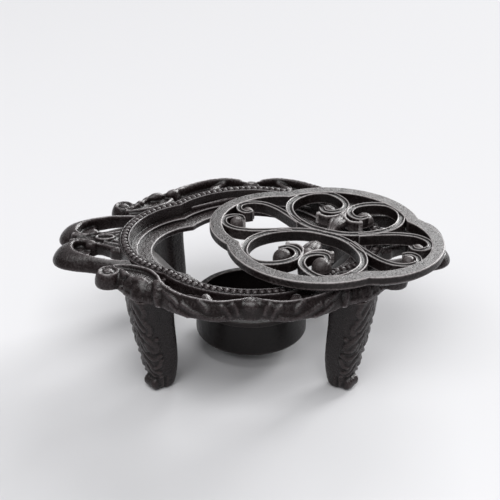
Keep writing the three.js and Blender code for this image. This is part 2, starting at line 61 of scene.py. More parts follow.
# Legs, measured out from the stud along a line turned from the long axis: stations of level, inner face, outer face
# and half width
STUD = np.array([36.754, 33.268])
LEG_TURN = math.radians(40)
LEG_HEIGHT = 42.05
LEG_STATIONS = [[0, -6.0, -0.4, 4.2], [3.5, -7.3, 1.0, 4.8], [11, -8.4, 3.2, 5.4], [30, -7.4, 7.2, 5.8],
                [37, -7.4, 8.3, 6.0], [42.05, -7.4, 9.1, 6.2]]
LEG_AROUND, LEG_LEVELS, STATION_SPACING = 180, 200, 0.1
SOLE_ROUNDING, SOLE_HEIGHT = 0.9, 1.4
LEG_CLEARANCE = 0.3
TOE_RADIUS, TOE_LEVEL, TOE_OUT, TOE_HALF_WIDTH, TOE_STEPS = 2.6, 2.9, 0.9, 3.6, 40
# Slit behind the toe: how far behind its axis, how wide and deep, up to which level and from how far aside
SLIT_BACK, SLIT_WIDTH, SLIT_DEPTH, SLIT_TOP, SLIT_SIDE = 2.3, 0.5, 0.8, 6.6, 2.4

# Candle cup
CUP_RIM, CUP_BASE, CUP_RADIUS, CUP_WALL = 21.7, 6.5, 22.4, 1.4
CUP_LIP_RADIUS, CUP_LIP_WIDTH, CUP_LIP, CUP_FLOOR = 23.0, 2.6, 1.8, 1.8
CUP_STEPS = 160
# Rivets through strap and wall: level, where the heads sit, shank radius, and the head as radius and height
RIVET_LEVEL, RIVET_INNER, RIVET_OUTER, SHANK_RADIUS = 15.4, 20.7, 25.0, 1.1
RIVET_HEAD = [[0, -0.2], [1.9, -0.2], [1.9, 0], [1.75, 0.35], [1.3, 0.68], [0.65, 0.86], [0, 0.9]]
HEAD_STEPS, SHANK_STEPS = 32, 24

# Lid
LID_OUTER, LID_INNER, LID_REST, LID_THICKNESS = -0.8, -5.7, 49.4, 4.8
LID_EDGE, LID_STEP = 3.0, 2.2
LID_SHIFT, LID_TURN = np.array([28.2, -8.0]), math.radians(-26.8)
HEART_WIDTH, HEART_LENGTH, SCROLL_LENGTH = 23.0, 36.6, 41.8
STRIP_FOOT, STRIP_DROP, TENDRIL_DROP, STRIP_SPACING, BALL_DOME = 0.3, 0.2, 0.3, 0.5, 0.95

QUARTERS = {"back_right": (1, 1), "back_left": (-1, 1), "front_left": (-1, -1), "front_right": (1, -1)}


# Nodes, meshes and curves

def add(tree, kind, settings={}, inputs={}):
    """Adds a node, sets its options, and fills its inputs with values or with other nodes' outputs."""
    node = tree.nodes.new(kind)
    for name, value in settings.items():
        setattr(node, name, value)
    for key, value in inputs.items():
        if isinstance(value, bpy.types.NodeSocket):
            tree.links.new(value, node.inputs[key])
        else:
            node.inputs[key].default_value = value
    return node


def linear(hex_colour):
    """sRGB hex to the linear colour that a shader's socket takes."""
    parts = [int(hex_colour[i:i + 2], 16) / 255 for i in (1, 3, 5)]
    return [p / 12.92 if p <= 0.04045 else ((p + 0.055) / 1.055) ** 2.4 for p in parts] + [1.0]


def new_mesh(name, points, faces):
    """A mesh of points in millimetres and of faces."""
    mesh = bpy.data.meshes.new(name)
    mesh.from_pydata((np.asarray(points, float) * MM).tolist(), [], faces)
    return mesh


def coordinates(mesh):
    """Points of a mesh in millimetres."""
    flat = np.empty(len(mesh.vertices) * 3)
    mesh.vertices.foreach_get("co", flat)
    return flat.reshape(-1, 3) / MM


def set_coordinates(mesh, points):
    """Moves the points of a mesh to places in millimetres."""
    mesh.vertices.foreach_set("co", (points * MM).ravel())
    mesh.update()


def normals(mesh):
    """Outward direction at each point of a mesh."""
    flat = np.empty(len(mesh.vertices) * 3, np.float32)
    mesh.vertex_normals.foreach_get("vector", flat)
    return flat.reshape(-1, 3).astype(float)


def tidied(mesh):
    """Merges doubles and turns all faces outwards."""
    shape = bmesh.new()
    shape.from_mesh(mesh)
    bmesh.ops.remove_doubles(shape, verts=shape.verts, dist=0.002 * MM)
    bmesh.ops.recalc_face_normals(shape, faces=shape.faces)
    shape.to_mesh(mesh)
    shape.free()
    return mesh


def joined(name, meshes):
    """Several meshes as one, with their overlaps kept."""
    shape = bmesh.new()
    for mesh in meshes:
        shape.from_mesh(mesh)
    whole = bpy.data.meshes.new(name)
    shape.to_mesh(whole)
    shape.free()
    return whole


def mirrored(mesh, sides):
    """Copy of a mesh with x and y multiplied by the two signs in sides."""
    copy = mesh.copy()
    copy.transform(Matrix.Diagonal((*sides, 1, 1)))
    if sides[0] * sides[1] < 0:
        copy.flip_normals()
    return copy


def evaluated(name, mesh, set_up):
    """Puts a mesh on a passing object, lets set_up give it modifiers, and returns the result."""
    holder = bpy.data.objects.new(name, mesh)
    set_up(holder)
    scene.collection.objects.link(holder)
    graph = bpy.context.evaluated_depsgraph_get()
    result = bpy.data.meshes.new_from_object(holder.evaluated_get(graph), depsgraph=graph)
    holder.modifiers.clear()
    bpy.data.objects.remove(holder)
    return result


def grown(name, mesh, tree, values):
    """Runs a node tree on a mesh; the values go to the tree's named inputs."""
    def set_up(holder):
        modifier = holder.modifiers.new(tree.name, "NODES")
        modifier.node_group = tree
        for socket in tree.interface.items_tree:
            if socket.name in values:
                modifier[socket.identifier] = values[socket.name]
    return evaluated(name, mesh, set_up)


def fused(name, meshes, voxel, smoothing):
    """Melts overlapping closed shapes into one casting with soft inner corners."""
    def set_up(holder):
        remesh = holder.modifiers.new("melt", "REMESH")
        remesh.mode = "VOXEL"
        remesh.voxel_size = voxel * MM
        smooth = holder.modifiers.new("soften", "SMOOTH")
        smooth.factor = 0.5
        smooth.iterations = smoothing
    return evaluated(name, joined(name, meshes), set_up)


SPAN_SAMPLES = 40


def smooth_path(rows, spacing):
    """Centripetal curve through rows whose first two numbers are x and y, sampled evenly in plan."""
    rows = np.asarray(rows, float)
    rows = np.vstack([2 * rows[0] - rows[1], rows, 2 * rows[-1] - rows[-2]])
    fine = []
    for a, b, c, d in zip(rows, rows[1:], rows[2:], rows[3:]):
        steps = [math.sqrt(math.dist(p[:2], q[:2])) for p, q in ((a, b), (b, c), (c, d))]
        t1, t2, t3 = np.cumsum(steps)
        t = np.linspace(t1, t2, SPAN_SAMPLES, endpoint=False)[:, None]
        low = (t1 - t) / t1 * a + t / t1 * b
        mid = (t2 - t) / (t2 - t1) * b + (t - t1) / (t2 - t1) * c
        high = (t3 - t) / (t3 - t2) * c + (t - t2) / (t3 - t2) * d
        near = (t2 - t) / t2 * low + t / t2 * mid
        far = (t3 - t) / (t3 - t1) * mid + (t - t1) / (t3 - t1) * high
        fine.append((t2 - t) / (t2 - t1) * near + (t - t1) / (t2 - t1) * far)
    fine = np.vstack(fine + [rows[-2]])
    run = np.concatenate([[0], np.cumsum(np.hypot(*np.diff(fine[:, :2], axis=0).T))])
    at = np.linspace(0, run[-1], max(2, round(run[-1] / spacing)) + 1)
    return np.column_stack([np.interp(at, run, column) for column in fine.T])


def distances(points, path):
    """Plan distance of each point to a sampled path, and the index of the nearest sample."""
    gaps = np.hypot(points[:, None, 0] - path[None, :, 0], points[:, None, 1] - path[None, :, 1])
    nearest = gaps.argmin(1)
    return gaps[np.arange(len(points)), nearest], nearest


RIBBON_VECTORS, RIBBON_SIZES = ("side", "centre", "section"), ("half_width", "crest", "foot")


def new_tree(name, inputs):
    """A geometry node tree with a geometry output and named inputs, and the sockets of those inputs."""
    tree = bpy.data.node_groups.new(name, "GeometryNodeTree")
    tree.interface.new_socket("Geometry", in_out="OUTPUT", socket_type="NodeSocketGeometry")
    for socket, kind in inputs.items():
        tree.interface.new_socket(socket, in_out="INPUT", socket_type="NodeSocket" + kind)
    return tree, add(tree, "NodeGroupInput").outputs


def end_tree(tree, geometry, material):
    """Makes a tree's geometry real, gives it the material and sends it out."""
    real = add(tree, "GeometryNodeRealizeInstances", {}, {"Geometry": geometry}).outputs[0]
    done = add(tree, "GeometryNodeSetMaterial", {}, {"Geometry": real, "Material": material}).outputs[0]
    add(tree, "NodeGroupOutput", {}, {"Geometry": done})
    return tree


def stored(tree, geometry, name, value):
    """Keeps a vector on the points of a geometry under a name."""
    return add(tree, "GeometryNodeStoreNamedAttribute", {"data_type": "FLOAT_VECTOR", "domain": "POINT"},
               {"Geometry": geometry, "Name": name, "Value": value}).outputs[0]


def ribbon_tree():
    """Sweeps a section along each path: across by half_width, up from foot to crest."""
    tree, given = new_tree("cast_ribbon", {"Geometry": "Geometry", "Section": "Object", "Material": "Material"})
    position = add(tree, "GeometryNodeInputPosition").outputs[0]
    tangent = add(tree, "GeometryNodeInputTangent").outputs[0]
    side = add(tree, "ShaderNodeVectorMath", {"operation": "CROSS_PRODUCT"}, {0: (0, 0, 1), 1: tangent}).outputs[0]
    path = add(tree, "GeometryNodeMeshToCurve", {}, {"Mesh": given["Geometry"]}).outputs[0]
    path = stored(tree, stored(tree, path, "side", side), "centre", position)
    shape = add(tree, "GeometryNodeObjectInfo", {}, {"Object": given["Section"]}).outputs["Geometry"]
    shape = add(tree, "GeometryNodeMeshToCurve", {}, {"Mesh": shape}).outputs[0]
    shape = stored(tree, shape, "section", position)
    swept = add(tree, "GeometryNodeCurveToMesh", {},
                {"Curve": path, "Profile Curve": shape, "Fill Caps": True}).outputs[0]
    read = {name: add(tree, "GeometryNodeInputNamedAttribute", {"data_type": kind}, {"Name": name}).outputs[0]
            for kind, names in (("FLOAT_VECTOR", RIBBON_VECTORS), ("FLOAT", RIBBON_SIZES)) for name in names}
    share = add(tree, "ShaderNodeSeparateXYZ", {}, {0: read["section"]}).outputs
    out = add(tree, "ShaderNodeMath", {"operation": "MULTIPLY"}, {0: share[0], 1: read["half_width"]}).outputs[0]
    across = add(tree, "ShaderNodeVectorMath", {"operation": "SCALE"}, {0: read["side"], "Scale": out}).outputs[0]
    level = add(tree, "ShaderNodeMapRange", {"clamp": False},
                {"Value": share[1], "To Min": read["foot"], "To Max": read["crest"]}).outputs[0]
    up = add(tree, "ShaderNodeCombineXYZ", {}, {"Z": level}).outputs[0]
    place = add(tree, "ShaderNodeVectorMath", {"operation": "ADD"}, {0: read["centre"], 1: across}).outputs[0]
    place = add(tree, "ShaderNodeVectorMath", {"operation": "ADD"}, {0: place, 1: up}).outputs[0]
    moved = add(tree, "GeometryNodeSetPosition", {}, {"Geometry": swept, "Position": place}).outputs[0]
    return end_tree(tree, moved, given["Material"])


def row_tree():
    """Sets a copy of one small piece at even steps along each path, turned with it and slanted."""
    tree, given = new_tree("row_along_path", {"Geometry": "Geometry", "Piece": "Object", "Count": "Int",
                                              "Slant": "Float", "Material": "Material"})
    path = add(tree, "GeometryNodeMeshToCurve", {}, {"Mesh": given["Geometry"]}).outputs[0]
    path = add(tree, "GeometryNodeResampleCurve", {}, {"Curve": path, "Count": given["Count"]}).outputs[0]
    tangent = add(tree, "GeometryNodeInputTangent").outputs[0]
    way = add(tree, "ShaderNodeSeparateXYZ", {}, {0: tangent}).outputs
    angle = add(tree, "ShaderNodeMath", {"operation": "ARCTAN2"}, {0: way[1], 1: way[0]}).outputs[0]
    angle = add(tree, "ShaderNodeMath", {"operation": "ADD"}, {0: angle, 1: given["Slant"]}).outputs[0]
    turn = add(tree, "ShaderNodeCombineXYZ", {}, {"Z": angle}).outputs[0]
    piece = add(tree, "GeometryNodeObjectInfo", {}, {"Object": given["Piece"]}).outputs["Geometry"]
    row = add(tree, "GeometryNodeInstanceOnPoints", {},
              {"Points": path, "Instance": piece, "Rotation": turn}).outputs[0]
    return end_tree(tree, row, given["Material"])


CAST_RIBBON = ribbon_tree()
ROW_ALONG_PATH = row_tree()


def path_mesh(name, paths, closed=False):
    """Paths of x, y, half width, crest and foot in millimetres as lines with those values on their points."""
    points, edges, start = [], [], 0
    for path in paths:
        count = len(path)
        edges += [(start + i, start + (i + 1) % count) for i in range(count if closed else count - 1)]
        points.append(path)
        start += count
    points = np.vstack(points)
    mesh = bpy.data.meshes.new(name)
    level = np.zeros((len(points), 1))
    mesh.from_pydata((np.hstack([points[:, :2], level]) * MM).tolist(), edges, [])
    for size, values in zip(RIBBON_SIZES, points[:, 2:].T):
        mesh.attributes.new(size, "FLOAT", "POINT").data.foreach_set("value", values * MM)
    return mesh


def section_object(name, corners):
    """A closed outline of side shares and height shares that a ribbon is swept with."""
    count = len(corners)
    mesh = bpy.data.meshes.new(name)
    mesh.from_pydata([(x, y, 0) for x, y in corners], [(i, (i + 1) % count) for i in range(count)], [])
    section = bpy.data.objects.new(name, mesh)
    scene.collection.objects.link(section)
    return section


def ribbons(name, paths, section, closed=False):
    """Closed solids swept along paths with a section."""
    mesh = grown(name, path_mesh(name, paths, closed), CAST_RIBBON, {"Section": section})
    return tidied(mesh)


def lathe(profile, steps, centre=(0, 0), squash=(1, 1)):
    """Turns a profile of radius and height that starts and ends on the axis."""
    profile = np.asarray(profile, float)
    angles = np.linspace(0, 2 * math.pi, steps, endpoint=False)
    points = [[*centre, profile[0][1]]]
    for radius, z in profile[1:-1]:
        points += [[centre[0] + squash[0] * radius * math.cos(a), centre[1] + squash[1] * radius * math.sin(a), z]
                   for a in angles]
    points.append([*centre, profile[-1][1]])
    rings = len(profile) - 2
    faces = [(0, 1 + (j + 1) % steps, 1 + j) for j in range(steps)]
    for i in range(rings - 1):
        low, high = 1 + i * steps, 1 + (i + 1) * steps
        faces += [(low + j, low + (j + 1) % steps, high + (j + 1) % steps, high + j) for j in range(steps)]
    last = 1 + (rings - 1) * steps
    faces += [(last + j, last + (j + 1) % steps, len(points) - 1) for j in range(steps)]
    return tidied(new_mesh("lathe", points, faces))


BOSS_ARC, BOSS_STEPS = 7, 28


def boss(x, y, radius, foot, crest, dome, squash=(1, 1)):
    """A round boss with upright sides and a domed top."""
    angles = np.linspace(0, math.pi / 2, BOSS_ARC)
    arc = [[radius * math.cos(a), crest - dome + dome * math.sin(a)] for a in angles[:-1]]
    return lathe([[0, foot], [radius, foot]] + arc + [[0, crest]], BOSS_STEPS, (x, y), squash)


EGG_STEPS, EGG_RINGS = 20, 14


def egg(centre, radii, turn=0.0):
    """A smooth egg-shaped lobe, turned in plan."""
    shape = bmesh.new()
    bmesh.ops.create_uvsphere(shape, u_segments=EGG_STEPS, v_segments=EGG_RINGS, radius=1)
    shape.transform(Matrix.Translation(Vector(centre) * MM) @ Matrix.Rotation(turn, 4, "Z")
                    @ Matrix.Diagonal((*(Vector(radii) * MM), 1)))
    mesh = bpy.data.meshes.new("egg")
    shape.to_mesh(mesh)
    shape.free()
    return mesh


def floor_plate(corners, low, high):
    """A plate on a plan outline between two levels."""
    count = len(corners)
    points = [[x, y, low] for x, y in corners] + [[x, y, high] for x, y in corners]
    faces = [tuple(range(count))[::-1], tuple(range(count, 2 * count))]
    faces += [(i, (i + 1) % count, count + (i + 1) % count, count + i) for i in range(count)]
    return tidied(new_mesh("floor", points, faces))


# Steps of a corner's rounding, how far beside it a further point lies, and the room in shoulders that takes
CORNER_STEPS, SHOULDER, SHOULDER_ROOM = 4, 0.45, 2.5


def rounded(corners):
    """Closed section of x, z and corner radius, its corners rounded, with a point on each side of the rounding."""
    points = []
    count = len(corners)
    for i, (x, z, radius) in enumerate(corners):
        here = np.array([x, z])
        before, after = corners[i - 1], corners[(i + 1) % count]
        back, ahead = np.array(before[:2]) - here, np.array(after[:2]) - here
        back_length, ahead_length = np.linalg.norm(back), np.linalg.norm(ahead)
        back, ahead = back / back_length, ahead / ahead_length
        if back_length > radius + before[2] + SHOULDER_ROOM * SHOULDER:
            points.append(here + (radius + SHOULDER) * back)
        for t in np.linspace(0, 1, CORNER_STEPS + 1):
            points.append(here + radius * (back * (1 - t) ** 2 + ahead * t ** 2))
        if ahead_length > radius + after[2] + SHOULDER_ROOM * SHOULDER:
            points.append(here + (radius + SHOULDER) * ahead)
    return points


def cusp(offset):
    """Where the end lobe and the side lobe meet in the first quarter."""
    end, side = END_RADIUS + offset, SIDE_RADIUS + offset
    apart = math.hypot(END_CENTRE, SIDE_CENTRE)
    along = (end ** 2 - side ** 2 + apart ** 2) / (2 * apart)
    across = math.sqrt(end ** 2 - along ** 2)
    return ((END_CENTRE * (apart - along) + across * SIDE_CENTRE) / apart,
            (along * SIDE_CENTRE + across * END_CENTRE) / apart)


def lobes(offset):
    """Centre, radius, middle angle and half angle of the four arcs of the outline at an offset."""
    x, y = cusp(offset)
    end_half = math.atan2(y, x - END_CENTRE)
    side_half = math.atan2(x, y - SIDE_CENTRE)
    end, side = END_RADIUS + offset, SIDE_RADIUS + offset
    return [((END_CENTRE, 0), end, 0, end_half), ((0, SIDE_CENTRE), side, math.pi / 2, side_half),
            ((-END_CENTRE, 0), end, math.pi, end_half), ((0, -SIDE_CENTRE), side, 1.5 * math.pi, side_half)]


def outline(offset):
    """Points of the four-lobed outline at an offset from the opening."""
    points = []
    for (x, y), radius, middle, half in lobes(offset):
        for angle in np.linspace(middle - half, middle + half, LOBE_STEPS, endpoint=False):
            points.append([x + radius * math.cos(angle), y + radius * math.sin(angle)])
    return np.array(points)


def ring_sweep(name, section):
    """Carries a closed section of offsets and heights round the four lobes."""
    columns = [np.column_stack([outline(offset), np.full(4 * LOBE_STEPS, z)]) for offset, z in section]
    points = np.stack(columns, 1).reshape(-1, 3)
    around, along = len(section), 4 * LOBE_STEPS
    faces = []
    for i in range(along):
        here, there = i * around, (i + 1) % along * around
        faces += [(here + j, there + j, there + (j + 1) % around, here + (j + 1) % around) for j in range(around)]
    return tidied(new_mesh(name, points, faces))


# Radii that turn a bend into the surface's tone (hollows painted darker as shade, edges lighter from wearing and
# painted glints), the shortest edge that is measured, and the upward share of a normal from which a face starts to
# count as level
EDGE_RADIUS, BEAD_EDGE_RADIUS, SHORTEST_EDGE = 1.0, 0.45, 0.1
LEVEL_FROM, LEVEL_SPAN = 0.6, 0.35


def wear_and_shading(mesh, reach, edge_radius):
    """Stores how the surface bends at each point, 0 in a hollow to 1 on an edge, which the iron paints as shade in
    hollows and as wearing with painted glints on edges, and how level it lies.
    """
    points, out = coordinates(mesh), normals(mesh)
    edges = np.empty(len(mesh.edges) * 2, int)
    mesh.edges.foreach_get("vertices", edges)
    a, b = edges.reshape(-1, 2).T
    count = np.maximum(np.bincount(a, minlength=len(points)) + np.bincount(b, minlength=len(points)), 1)
    way = points[b] - points[a]
    way /= np.maximum((way ** 2).sum(1), SHORTEST_EDGE ** 2)[:, None]
    fall_a, fall_b = -(way * out[a]).sum(1), (way * out[b]).sum(1)
    bend = (np.bincount(a, fall_a, len(points)) + np.bincount(b, fall_b, len(points))) / count
    for _ in range(reach):
        around = np.bincount(a, bend[b], len(points)) + np.bincount(b, bend[a], len(points))
        bend = (bend + around / count) / 2
    share = np.clip(0.5 + edge_radius * bend, 0, 1)
    mesh.attributes.new("wear_and_shading", "FLOAT", "POINT").data.foreach_set("value", share)
    level = np.clip((out[:, 2] - LEVEL_FROM) / LEVEL_SPAN, 0, 1) * np.clip(2 * share, 0, 1)
    mesh.attributes.new("level", "FLOAT", "POINT").data.foreach_set("value", level)


# Finishes

# Sizes of the iron's patterns and height of its swell. The sand grain of about 0.25 mm is drawn at 0.9 mm, so that
# it shows from a step away
BLOTCH, SWELL, SAND, SWELL_HEIGHT = 11, 4.5, 0.9, 0.25
# What blotches, sand and level tops add to the tone (on level tops partly rubbing and partly a painted sheen), what
# level tops add to the shine, and how the sand varies the roughness
BLOTCH_TONE, SAND_TONE, LEVEL_TONE, LEVEL_SHINE = 0.3, 0.46, 0.6, 3
SMOOTHER, ROUGHER = 0.1, 0.12
# Stops of the tone ramp: hollows painted darker as shade, body, edges lighter from wearing and painted glints, and
# the brightest painted glint on exposed metal
HOLLOW_AT, BODY_AT, EDGE_AT, BARE_GLINT_AT = 0.25, 0.52, 0.85, 1.0


def noise(tree, place, size, detail, roughness=0.5):
    """Noise whose blobs have a size in millimetres."""
    return add(tree, "ShaderNodeTexNoise", {}, {"Vector": place, "Scale": 1000 / size, "Detail": detail,
                                                "Roughness": roughness}).outputs["Fac"]


def scaled(tree, value, gain, base):
    """A value times a gain, on top of a base."""
    return add(tree, "ShaderNodeMath", {"operation": "MULTIPLY_ADD"}, {0: value, 1: gain, 2: base}).outputs[0]


def lacquered_cast_iron(name, hollow, body, edge, bare_metal_glint, rough, grain, gloss, rub_and_sheen):
    """Sand-cast iron under thin dark lacquer: sandy grain, hollows painted darker as shade, greyer edges from wearing
    with painted glints, the sharpest ones painted nearly white as a glint on exposed metal, and level tops lightened
    partly by rubbing and partly by a painted sheen and given more shine."""
    material = bpy.data.materials.new(name)
    material.use_nodes = True
    tree = material.node_tree
    shader = tree.nodes["Principled BSDF"]
    place = add(tree, "ShaderNodeTexCoord").outputs["Object"]
    worn_and_shaded = add(tree, "ShaderNodeAttribute", {"attribute_name": "wear_and_shading"}).outputs["Fac"]
    level = add(tree, "ShaderNodeAttribute", {"attribute_name": "level"}).outputs["Fac"]
    blotch = noise(tree, place, BLOTCH, 4.0, 0.6)
    sand = noise(tree, place, SAND, 3.0, 0.65)
    swell = noise(tree, place, SWELL, 2.0)
    tone = scaled(tree, blotch, BLOTCH_TONE, -BLOTCH_TONE / 2)
    tone = add(tree, "ShaderNodeMath", {"operation": "ADD"}, {0: worn_and_shaded, 1: tone}).outputs[0]
    tone = scaled(tree, level, LEVEL_TONE * rub_and_sheen, tone)
    speck = scaled(tree, sand, SAND_TONE, -SAND_TONE / 2)
    tone = add(tree, "ShaderNodeMath", {"operation": "ADD", "use_clamp": True}, {0: tone, 1: speck}).outputs[0]
    ramp = add(tree, "ShaderNodeValToRGB", {}, {"Fac": tone})
    stops = ramp.color_ramp.elements
    stops[0].position, stops[0].color = HOLLOW_AT, linear(hollow)
    stops[1].position, stops[1].color = BARE_GLINT_AT, linear(bare_metal_glint)
    for position, colour in ((BODY_AT, body), (EDGE_AT, edge)):
        stops.new(position).color = linear(colour)
    sheen = add(tree, "ShaderNodeMapRange", {}, {"Value": sand, "From Min": 0.3, "From Max": 0.7,
                                                 "To Min": rough - SMOOTHER, "To Max": rough + ROUGHER}).outputs[0]
    fine = add(tree, "ShaderNodeBump", {}, {"Strength": 1.0, "Distance": grain * MM, "Height": sand}).outputs[0]
    skin = add(tree, "ShaderNodeBump", {}, {"Strength": 1.0, "Distance": SWELL_HEIGHT * MM, "Height": swell,
                                            "Normal": fine}).outputs[0]
    shine = scaled(tree, level, LEVEL_SHINE * rub_and_sheen, gloss)
    for socket, value in (("Specular IOR Level", shine), ("Base Color", ramp.outputs[0]), ("Roughness", sheen),
                          ("Normal", skin)):
        tree.links.new(value, shader.inputs[socket])
    return material


# Colours of each iron for hollows (painted shade), body, edges (wearing and painted glints) and the brightest painted
# glint, then its roughness, grain, gloss and how far level tops are lightened by rubbing and painted sheen
FRAME_IRON = lacquered_cast_iron("lacquered_cast_iron", "#0f0a0a", "#181111", "#433c3d", "#8a8687",
                                 rough=0.27, grain=0.18, gloss=0.26, rub_and_sheen=0.23)
LEG_IRON = lacquered_cast_iron("lacquered_cast_iron_of_legs", "#0f0a0a", "#191213", "#352d2d", "#423a3a",
                               rough=0.3, grain=0.28, gloss=0.3, rub_and_sheen=0.2)
LID_IRON = lacquered_cast_iron("rubbed_and_sheened_cast_iron", "#0f0b0b", "#171111", "#5a5353", "#a6a2a2",
                               rough=0.31, grain=0.24, gloss=0.22, rub_and_sheen=0.13)
CUP_IRON = lacquered_cast_iron("smooth_black_lacquered_iron", "#0d0909", "#130f0f", "#2c2625", "#3a3332",
                               rough=0.36, grain=0.03, gloss=0.25, rub_and_sheen=0.05)
DARK_STEEL = lacquered_cast_iron("darkened_steel", "#2c2a29", "#4a4745", "#8d8883", "#8d8883",
                                 rough=0.34, grain=0.02, gloss=0.5, rub_and_sheen=0.0)
DARK_STEEL.node_tree.nodes["Principled BSDF"].inputs["Metallic"].default_value = 1.0


def piece(name, mesh, material, body, slot, nodes=(), sharp=40, reach=3, edge_radius=EDGE_RADIUS):
    """Finishes a mesh as a shown piece: smooth faces, the bend tone (wearing with painted glints on edges, painted
    shade in hollows), material, body and the nodes it stands for. The slot is not used.
    """
    mesh.materials.clear()
    mesh.materials.append(material)
    mesh.polygons.foreach_set("material_index", np.zeros(len(mesh.polygons), int))
    mesh.shade_smooth()
    if sharp:
        mesh.set_sharp_from_angle(angle=math.radians(sharp))
    for extra in RIBBON_VECTORS + RIBBON_SIZES:
        if extra in mesh.attributes:
            mesh.attributes.remove(mesh.attributes[extra])
    wear_and_shading(mesh, reach, edge_radius)
    mesh.name = name
    shown = bpy.data.objects.new(name, mesh)
    scene.collection.objects.link(shown)
    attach(shown, body)
    if nodes:
        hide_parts(*nodes)


# Sections: side shares across, height shares up
CROWNED = section_object("crowned", [(-1, 0), (-1, 0.6), (-0.94, 0.76), (-0.78, 0.89), (-0.45, 0.975), (0, 1),
                                     (0.45, 0.975), (0.78, 0.89), (0.94, 0.76), (1, 0.6), (1, 0)])
SLOPED = section_object("sloped", [(-1, 0), (-1, 0.8), (-0.93, 0.93), (-0.78, 1), (-0.55, 0.985), (-0.2, 0.9),
                                   (0.2, 0.76), (0.55, 0.57), (0.82, 0.34), (0.96, 0.14), (1, 0)])
CHANNELLED = section_object("channelled", [(-1, 0), (-1, 0.1), (-1, 0.85), (-1, 0.93), (-0.95, 0.975), (-0.84, 1),
                                           (-0.7, 0.985), (-0.52, 0.92), (-0.28, 0.88), (0, 0.868), (0.28, 0.88),
                                           (0.52, 0.92), (0.7, 0.985), (0.84, 1), (0.95, 0.975), (1, 0.93),
                                           (1, 0.85), (1, 0.1), (1, 0)])


# Frame: stepped seat and beaded band

def seat_ring():
    """Ring with the ledge, the seat, the wall up to the rim and the groove that the beads lie in."""
    section = rounded([
        (LEDGE_EDGE, RING_BOTTOM, 0.5), (LEDGE_EDGE, LEDGE, 0.45), (SEAT_EDGE, LEDGE, 0.3), (SEAT_EDGE, SEAT, 0.4),
        (0, SEAT, 0.5), (0.5, RIM, 0.35), (1.0, RIM, 0.2), (1.2, RIM - BEAD_GROOVE, 0.2),
        (3.75, RIM - BEAD_GROOVE, 0.2), (3.9, RIM - 0.1, 0.2), (BAND - 0.15, RIM - 0.05, 0.75),
        (BAND, RING_BOTTOM, 0.5)])
    return ring_sweep("seat_ring", section)


def bead_row():
    """Slanted beads at even steps along the four lobes of the band."""
    bead = bpy.data.objects.new("bead", egg((0, 0, RIM - BEAD_DROP), BEAD_RADII))
    scene.collection.objects.link(bead)
    paths = []
    for (x, y), radius, middle, half in lobes(BAND / 2):
        half -= BEAD_PITCH / 2 / radius
        angles = np.linspace(middle - half, middle + half, BEAD_PATH_STEPS)
        paths.append(np.column_stack([x + radius * np.cos(angles), y + radius * np.sin(angles)]))
    _, radius, _, half = lobes(BAND / 2)[0]
    mesh = grown("bead_row", path_mesh("bead_path", paths), ROW_ALONG_PATH,
                 {"Piece": bead, "Count": round(2 * radius * half / BEAD_PITCH), "Slant": BEAD_SLANT,
                  "Material": FRAME_IRON})
    bpy.data.objects.remove(bead)
    return mesh


# Frame: scrolled border, one quarter in rows of x, y, half width and crest
PRONG = [[44.1, 20.4, 1.8, 47.4], [50.1, 20.4, 1.75, 47.6], [56.1, 19.6, 1.75, 47.9], [61.5, 17.9, 2.0, 48.1],
         [66.7, 15.9, 3.0, 48.2], [71.3, 12.5, 4.2, 48.3], [72.8, 8.4, 4.2, 48.3], [72.0, 4.6, 3.7, 48.2],
         [69.4, 2.6, 2.4, 48.1], [66.8, 2.0, 1.5, 47.8]]
PRONG_HOOK = [[70.6, 3.0, 1.4, 48.1], [67.6, 2.0, 1.2, 48.0], [64.8, 2.7, 1.2, 47.8], [62.4, 4.6, 1.3, 47.8]]
PRONG_FLOOR = [(63.1, 17.2), (69.8, 13.8), (73.0, 8.7), (72.1, 4.1), (67.5, 2.2), (62.1, 4.3)]
STEM = [[49.6, 0, 4.4, 46.6], [53.5, 0, 4.0, 46.8], [58.0, 0, 3.5, 47.0], [62.0, 0, 2.6, 46.9], [66.0, 0, 1.9, 46.8],
        [69.5, 0, 1.4, 46.6]]
STEM_FLUTES = [[[50.0, 9.0, 1.0, 47.4], [54.0, 7.2, 0.9, 47.4], [58.2, 4.9, 0.8, 47.4], [61.4, 4.7, 0.8, 47.6]],
               [[50.2, 6.0, 0.8, 47.5], [54.0, 4.7, 0.75, 47.5], [57.6, 3.4, 0.7, 47.5]],
               [[50.0, 3.6, 0.7, 47.4], [53.6, 2.2, 0.65, 47.7]]]
STEM_FLOOR = [(48.5, 0), (48.5, 11.0), (54.2, 9.0), (55.2, 6.4), (58.2, 5.2), (62.2, 5.2), (66.0, 1.5), (66.0, 0)]
# Eye in the stem as middle, half length and half width; its rim as half width, crest and foot; the hollow in it as
# half length, depth and width
STEM_EYE, EYE_RIM, EYE_HOLLOW, EYE_STEPS = (57.4, 3.2, 2.0), (0.75, 48.1, 45.5), (1.8, 1.3, 1.0), 40
VOLUTE, VOLUTE_STEPS = (52.85, 28.07), 40
# Side and ringed top of the volute as radius and level
VOLUTE_PROFILE = [[0, BORDER_BOTTOM], [5.0, 42.1], [5.3, 43.0], [5.2, 44.6], [4.8, 46.2], [4.1, 47.6], [3.6, 48.2],
                  [3.0, 48.2], [2.5, 47.4], [2.0, 47.4], [1.6, 48.2], [0.8, 48.4], [0, 48.5]]
INNER_RIM = [[51.6, 23.6, 0.8, 48.1], [48.6, 23.4, 0.8, 48.3], [45.2, 24.0, 0.85, 48.4], [41.9, 25.2, 0.9, 48.4],
             [38.9, 26.8, 0.9, 48.4], [36.6, 28.8, 0.9, 48.4], [34.6, 31.6, 0.9, 48.2], [33.2, 35.4, 0.9, 48.0]]
ARCH = [[-1.9, 48.4, 1.5, 48.6], [4.2, 51.8, 1.7, 49.0], [11.2, 53.5, 1.8, 49.2], [20.0, 51.1, 1.9, 49.1],
        [27.7, 46.4, 2.3, 49.0], [31.6, 42.6, 2.3, 49.3], [34.2, 39.4, 1.8, 49.2]]
